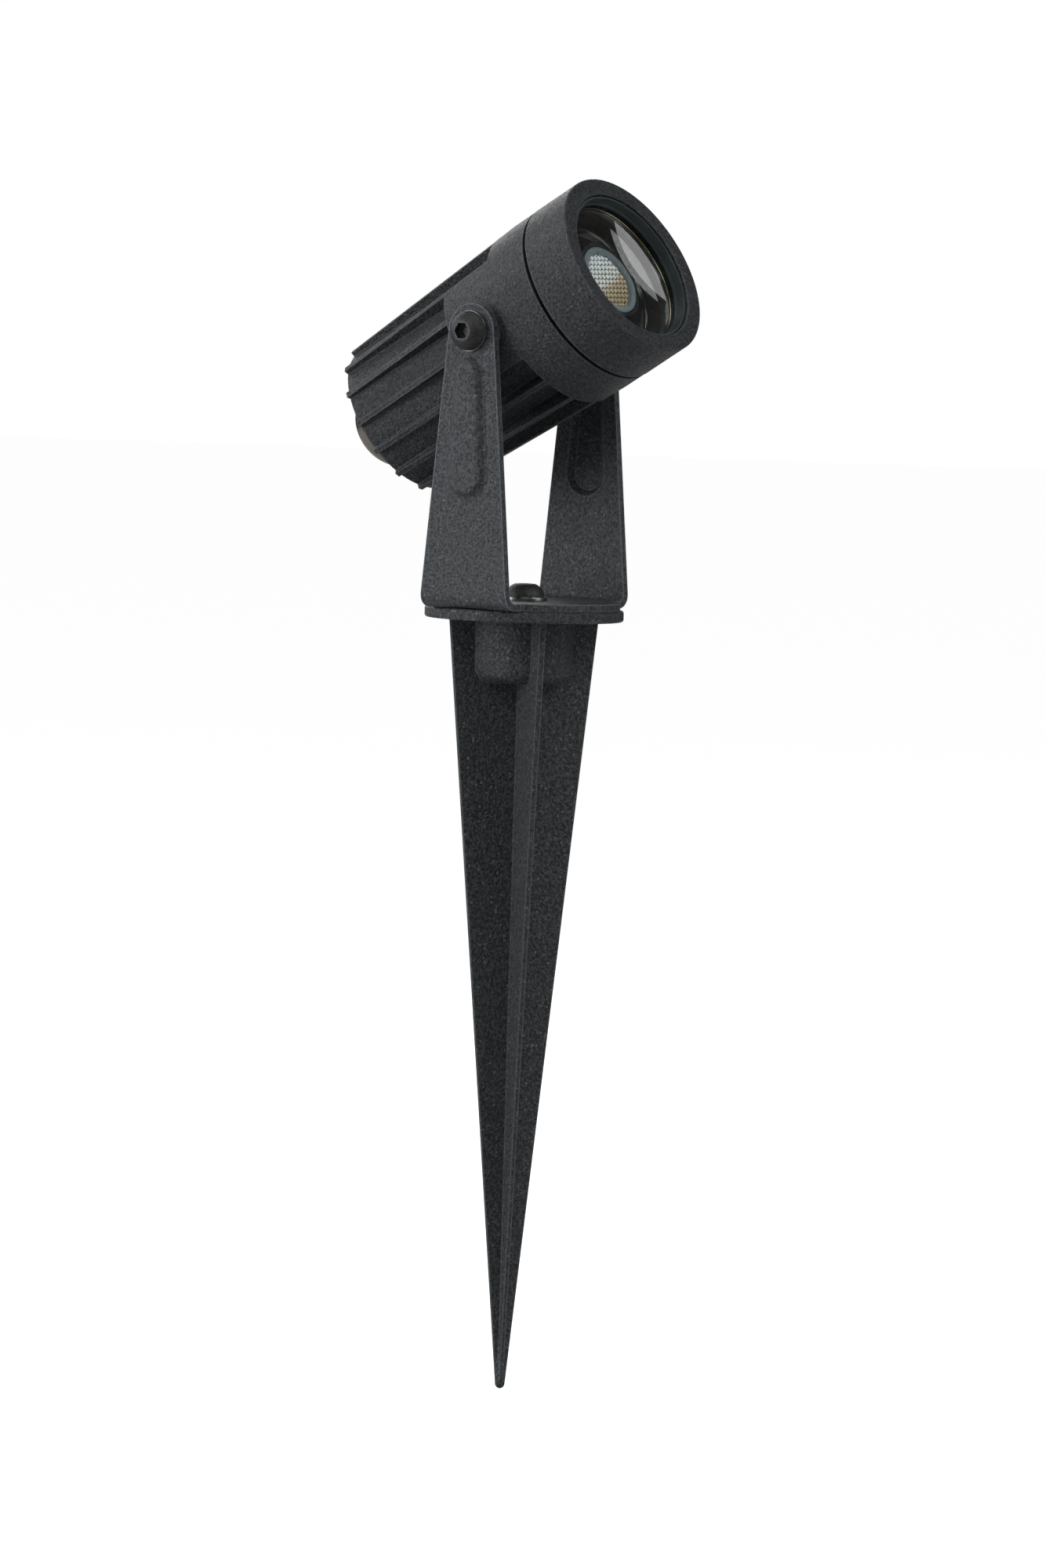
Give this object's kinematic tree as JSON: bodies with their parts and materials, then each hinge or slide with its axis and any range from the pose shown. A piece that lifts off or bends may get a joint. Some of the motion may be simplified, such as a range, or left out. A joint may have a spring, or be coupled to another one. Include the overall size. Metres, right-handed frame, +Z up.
{
  "type": "light projector stake",
  "caption": "Garden spotlight on a cross-bladed ground stake: ribbed round projector head with glazed bezel, tilting in a folded yoke that turns on the stake flange.",
  "frame": {"origin": "centre of the underside of the stake's round flange, on the stake axis: ground level once the stake is pushed in", "axes": "+Z up along the stake axis, X along the head's pivot axis, the beam leaves towards -Y raised 30.7 degrees at rest"},
  "size_m": [0.065, 0.0987, 0.3219],
  "materials": {
    "stake_coat": "textured anthracite powder coat, slightly coarse",
    "housing_coat": "textured anthracite powder coat",
    "bezel_coat": "textured anthracite powder coat, sharp turned edges",
    "yoke_coat": "textured anthracite powder coat over folded sheet",
    "screw_black": "black oxide, satin",
    "washer_steel": "bright stainless, turned edge",
    "gland_nickel": "nickel plated brass, warm satin",
    "insert_brass": "plain brass",
    "zinc_steel": "zinc plated",
    "seal_black": "matt black rubber",
    "gasket_silicone": "grey-green translucent silicone",
    "clear_glass": "clear tempered glass with ground edge",
    "clear_optic": "clear moulded acrylic",
    "plate_aluminium": "turned, plain",
    "pad_grey": "soft grey thermal pad",
    "board_white": "white solder mask on aluminium core",
    "board_green": "green solder mask",
    "led_phosphor": "yellow phosphor under a clear dome",
    "plastic_black": "matt black moulding",
    "cup_grey": "light grey moulding",
    "coil_copper": "enamelled copper winding",
    "capacitor_can": "dark sleeve",
    "terminal_green": "moulded terminal",
    "lead_red": "red insulation"
  },
  "bodies": {
    "stake": {"ground_stake": "stake_coat", "stake_insert": "insert_brass", "base_washer": "washer_steel", "base_screw": "screw_black"},
    "bracket": {"yoke_bracket": "yoke_coat"},
    "head": {"friction_washers": "seal_black", "pivot_washers": "washer_steel", "pivot_screws": "screw_black", "housing": "housing_coat", "bezel_ring": "bezel_coat", "bezel_oring": "seal_black", "front_glass": "clear_glass", "glass_gasket": "gasket_silicone", "glass_seat": "seal_black", "carrier_plate": "plate_aluminium", "plate_screws": "zinc_steel", "thermal_pad": "pad_grey", "led_board": "board_white", "board_screws": "zinc_steel", "led_chip": "led_phosphor", "tir_lens": "clear_optic", "lens_holder": "plastic_black", "inner_shade": "plastic_black", "driver_cup": "cup_grey", "driver_board": "board_green", "driver_coil": "coil_copper", "driver_capacitors": "capacitor_can", "driver_chips": "plastic_black", "terminal_block": "terminal_green", "led_leads": "lead_red", "gland_body": "gland_nickel", "gland_oring": "seal_black", "gland_seal": "seal_black", "gland_nut": "gland_nickel", "gland_locknut": "gland_nickel"}
  },
  "joints": [
    {"name": "swivel", "type": "hinge", "parent": "stake", "child": "bracket", "pos_m": [0, 0, 0.003], "axis": [0, 0, 1], "range_deg": [-170, 170]},
    {"name": "tilt", "type": "hinge", "parent": "bracket", "child": "head", "pos_m": [0, 0, 0.0762], "axis": [-1, 0, 0], "range_deg": [-75, 59]}
  ]
}
